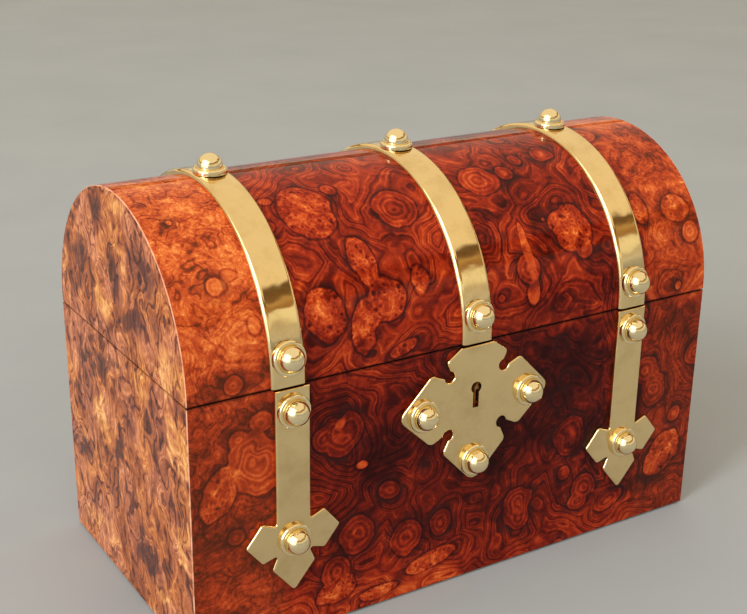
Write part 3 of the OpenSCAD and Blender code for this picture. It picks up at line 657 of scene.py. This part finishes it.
# ---------- cloth and foil ----------
# Thickness of the velvet, the baize and the foil, in mm
VELVET_T = 0.5
BAIZE_T = 0.66
FOIL_T = 0.8
# Depth of the deepest dents in the foil, and how far below its rim they reach that depth, in mm
DENT_DEPTH = 0.9
DENT_FADE = 6
# Points closer than this are one point, in mm
SAME_POINT = 0.01


def grid(shape, across, along, place):
    """Adds a sheet of quads to shape, with its points at place(u, v) for u and v from 0 to 1."""
    rows = []
    for i in range(across + 1):
        rows.append([shape.verts.new(place(i / across, j / along)) for j in range(along + 1)])
    for i in range(across):
        for j in range(along):
            shape.faces.new([rows[i][j], rows[i + 1][j], rows[i + 1][j + 1], rows[i][j + 1]])


def swell(point, size, seed):
    """A slow wave from -1 to 1 that is the same on every run."""
    return noise.noise(Vector(point) / (size * MM) + Vector((seed, 0, 0)))


def cloth_piece(name, shape, node, thickness):
    """Makes shape a cloth of that thickness in mm, half on each side of its faces, like a CAD node."""
    bmesh.ops.recalc_face_normals(shape, faces=shape.faces)
    mesh = bpy.data.meshes.new(name)
    shape.to_mesh(mesh)
    shape.free()
    mesh.shade_smooth()
    piece = new_piece(name, mesh, node)
    thick = piece.modifiers.new("thickness", "SOLIDIFY")
    thick.thickness = thickness * MM
    thick.offset = 0
    return piece


def dome_velvet():
    """Velvet glued round the inside of the dome, with a slight quilting where it has pulled."""
    (x0, y0, z0), (x1, y1, z1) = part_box("lid_lining")
    radius = y1 - 0.4 * MM
    quilting = 0.12 * MM
    shape = bmesh.new()

    def place(u, v):
        x, turn = x0 + (x1 - x0) * u, math.pi * v
        rise = quilting * swell((x, turn * radius, 0), 21, 3.0)
        reach = radius - 0.13 * MM + rise
        return x, reach * math.cos(turn), z0 + reach * math.sin(turn)

    grid(shape, 72, 60, place)
    piece = cloth_piece("dome_velvet", shape, "lid_lining", VELVET_T)
    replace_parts(piece, "lid_lining")


def end_velvets():
    """A half round of velvet at each end of the dome."""
    (x0, y0, z0), (x1, y1, z1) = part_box("lid_end_linings")
    radius = y1 - 0.02 * MM
    for name, x, inward in (("left_end_velvet", x0, 1), ("right_end_velvet", x1, -1)):
        shape = bmesh.new()

        def place(u, v):
            reach, turn = radius * u, math.pi * v
            y, z = reach * math.cos(turn), z0 + reach * math.sin(turn)
            from_wood = 0.4 + 0.1 * swell((y, z, 0), 19, x)
            return x + inward * MM * from_wood, y, z

        grid(shape, 20, 48, place)
        bmesh.ops.remove_doubles(shape, verts=shape.verts, dist=0.001 * MM)
        piece = cloth_piece(name, shape, "lid_end_linings", VELVET_T)
        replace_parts(piece, "lid_end_linings")


def foot_baize():
    """The baize glued under the caddy, a little uneven."""
    (x0, y0, z0), (x1, y1, z1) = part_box("base_baize")
    shape = bmesh.new()

    def place(u, v):
        x, y = x0 + (x1 - x0) * u, y0 + (y1 - y0) * v
        return x, y, (z0 + z1) / 2 + 0.05 * MM * swell((x, y, 0), 16, 8.0)

    grid(shape, 90, 45, place)
    piece = cloth_piece("foot_baize", shape, "base_baize", BAIZE_T)
    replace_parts(piece, "base_baize")


def crease(point, seed):
    """How far foil has been pressed in at a point, from 0 to 1, with sharp-edged dents."""
    wide = 1 - abs(swell(point, 17, seed)) * 2
    small = 1 - abs(swell(point, 6, seed + 5)) * 2
    return max(0.0, min(1.0, 0.55 * wide ** 3 + 0.3 * small ** 3 + 0.15))


def open_box(shape, low, high):
    """Adds four walls and a floor of quads between two corners, joined along their edges."""
    sides = ((0, 1, 2, low.x), (0, 1, 2, high.x), (1, 0, 2, low.y), (1, 0, 2, high.y), (2, 0, 1, low.z))
    for axis, first, second, level in sides:
        def place(u, v):
            point = Vector((0, 0, 0))
            point[axis] = level
            point[first] = low[first] + (high[first] - low[first]) * u
            point[second] = low[second] + (high[second] - low[second]) * v
            return point

        grid(shape, 40, 30 if second == 2 else 40, place)
    bmesh.ops.remove_doubles(shape, verts=shape.verts, dist=SAME_POINT * MM)


def pressed_foil(node):
    """The open tea-lead box of a compartment, dented inwards where it was pressed into its corners."""
    (x0, y0, z0), (x1, y1, z1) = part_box(node)
    wall = FOIL_T * MM
    low, high = Vector((x0 + wall, y0 + wall, z0 + wall)), Vector((x1 - wall, y1 - wall, z1))
    middle = (low + high) / 2
    shape = bmesh.new()
    open_box(shape, low, high)
    for vert in shape.verts:
        inward = Vector((0, 0, 0))
        for axis in range(3):
            if abs(vert.co[axis] - low[axis]) < SAME_POINT * MM:
                inward[axis] = 1
            elif axis < 2 and abs(vert.co[axis] - high[axis]) < SAME_POINT * MM:
                inward[axis] = -1
        fade = min(1.0, (high.z - vert.co.z) / (DENT_FADE * MM))
        vert.co += inward * DENT_DEPTH * MM * crease(vert.co, 2.0) * (0.15 + 0.85 * fade)

    # The outside is a copy of the dented inside, pushed back flat against the compartment
    near = (DENT_DEPTH + 0.1) * MM
    outside = bmesh.ops.duplicate(shape, geom=shape.faces[:] + shape.edges[:] + shape.verts[:])["geom"]
    for vert in (item for item in outside if isinstance(item, bmesh.types.BMVert)):
        away = vert.co - middle
        for axis, edge_low, edge_high in ((0, x0, x1), (1, y0, y1)):
            if min(abs(vert.co[axis] - low[axis]), abs(vert.co[axis] - high[axis])) < near:
                vert.co[axis] = edge_low if away[axis] < 0 else edge_high
        if vert.co.z - low.z < near:
            vert.co.z = z0
    rims = [edge for edge in shape.edges if edge.is_boundary]
    bmesh.ops.bridge_loops(shape, edges=rims)
    bmesh.ops.recalc_face_normals(shape, faces=shape.faces)
    mesh = bpy.data.meshes.new(node + "_pressed")
    shape.to_mesh(mesh)
    shape.free()
    smooth(mesh, 50)
    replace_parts(new_piece(node + "_pressed", mesh, node), node)


dome_velvet()
end_velvets()
foot_baize()
for node in ("left_foil_liner", "right_foil_liner"):
    pressed_foil(node)

for name, node in frame["nodes"].items():
    material = MATERIALS[SLOT_OF[name]]
    if not node.data.materials:
        node.data.materials.append(material)
    for slot in range(len(node.data.materials)):
        node.data.materials[slot] = material


# ---------- camera, floor and light ----------
def aim(obj, place, azimuth, elevation, roll=0.0):
    """Puts obj at place, looking along azimuth (0 is +Y, 90 is +X) and elevation degrees down."""
    turn = Matrix.Rotation(math.radians(-azimuth), 4, "Z") @ Matrix.Rotation(
        math.radians(90 - elevation), 4, "X") @ Matrix.Rotation(math.radians(roll), 4, "Z")
    obj.matrix_world = Matrix.Translation(Vector(place)) @ turn


def add_camera():
    """The camera of the main view: its place in metres, its way and its roll in degrees."""
    data = bpy.data.cameras.new("camera")
    data.sensor_width = 36
    data.lens = 64.16
    data.clip_start = 0.01
    camera = bpy.data.objects.new("camera", data)
    bpy.context.scene.collection.objects.link(camera)
    aim(camera, (-0.2714, -0.4200, 0.2816), azimuth=32.13, elevation=20.67, roll=0.81)
    bpy.context.scene.camera = camera


def add_light(name, place, target, size, watts, colour, mirrored=True):
    """A soft light at place facing target. If it isn't mirrored, polished surfaces don't show it."""
    data = bpy.data.lights.new(name, "AREA")
    data.shape = "RECTANGLE"
    data.size, data.size_y = size
    data.energy = watts
    data.color = colour
    light = bpy.data.objects.new(name, data)
    bpy.context.scene.collection.objects.link(light)
    way = Vector(target) - Vector(place)
    light.matrix_world = Matrix.Translation(place) @ way.to_track_quat("-Z", "Y").to_matrix().to_4x4()
    light.visible_glossy = mirrored


def add_floor():
    """A wide disc of pale grey paper under the caddy."""
    g = Graph("floor_paper")
    tone = g.noise(g.place, 120, 4, 0.6)
    colour = g.ramp(tone, [(0.3, (0.335, 0.365, 0.405)), (0.7, (0.365, 0.395, 0.435))])
    material = g.finish(base_color=colour, roughness=0.7, specular_ior_level=0.2)
    shape = bmesh.new()
    bmesh.ops.create_circle(shape, cap_ends=True, segments=96, radius=4.0)
    mesh = bpy.data.meshes.new("floor")
    shape.to_mesh(mesh)
    shape.free()
    mesh.materials.append(material)
    floor = bpy.data.objects.new("floor", mesh)
    floor.location.z = -0.0002
    bpy.context.scene.collection.objects.link(floor)


# What brass and polish mirror, from low to high: grey floor, pale wall, amber and brown, pale ceiling
ROOM_TONES = [
    (0.00, (0.33, 0.33, 0.32)), (0.14, (0.36, 0.36, 0.34)), (0.22, (0.66, 0.62, 0.54)),
    (0.34, (0.60, 0.53, 0.40)), (0.38, (0.92, 0.84, 0.62)), (0.46, (0.98, 0.90, 0.66)),
    (0.48, (0.34, 0.17, 0.06)), (0.53, (0.42, 0.24, 0.09)), (0.57, (0.56, 0.36, 0.15)),
    (0.61, (0.20, 0.11, 0.045)), (0.67, (0.15, 0.085, 0.035)), (0.70, (0.95, 0.80, 0.56)),
    (1.00, (0.92, 0.79, 0.58)),
]


def add_world():
    """A soft room for the brass and the polish to mirror."""
    world = bpy.data.worlds.new("studio")
    bpy.context.scene.world = world
    world.use_nodes = True
    nodes, links = world.node_tree.nodes, world.node_tree.links

    def worked_out(operation, a, b, c=0.0):
        node = nodes.new("ShaderNodeMath")
        node.operation = operation
        for socket, value in zip(node.inputs, (a, b, c)):
            if isinstance(value, bpy.types.NodeSocket):
                links.new(value, socket)
            else:
                socket.default_value = value
        return node.outputs[0]

    where = nodes.new("ShaderNodeTexCoord").outputs["Generated"]
    way = nodes.new("ShaderNodeSeparateXYZ")
    links.new(where, way.inputs[0])
    wobble = nodes.new("ShaderNodeTexNoise")
    wobble.inputs["Scale"].default_value = 2.6
    links.new(where, wobble.inputs["Vector"])
    # Behind the caddy the room brightens lower down than in front of it
    behind = worked_out("MULTIPLY_ADD", worked_out("MAXIMUM", way.outputs["Y"], 0.0), 1.2, 1.0)
    height = worked_out("MULTIPLY", way.outputs["Z"], behind)
    height = worked_out("MULTIPLY_ADD", wobble.outputs["Fac"], 0.2, height)
    ramp = nodes.new("ShaderNodeValToRGB")
    links.new(height, ramp.inputs[0])
    elements = ramp.color_ramp.elements
    while len(elements) < len(ROOM_TONES):
        elements.new(0.5)
    for element, (place, colour) in zip(elements, ROOM_TONES):
        element.position = place
        element.color = (*colour, 1)
    links.new(ramp.outputs[0], nodes["Background"].inputs["Color"])


add_camera()
add_floor()
add_world()
add_light("key_window", (-3.35, -1.12, 1.63), (0, 0, 0.08), (4.7, 4.5), 86, (0.95, 0.98, 1.0))
add_light("window_pane", (-3.10, -1.05, 1.83), (0, 0, 0.08), (0.75, 3.0), 80, (1.0, 0.99, 0.95))
add_light("front_fill", (0.4, -3.2, 1.8), (0, 0, 0.06), (3.2, 1.6), 28, (1.0, 0.94, 0.85), mirrored=False)

bpy.context.scene.view_settings.view_transform = "Standard"
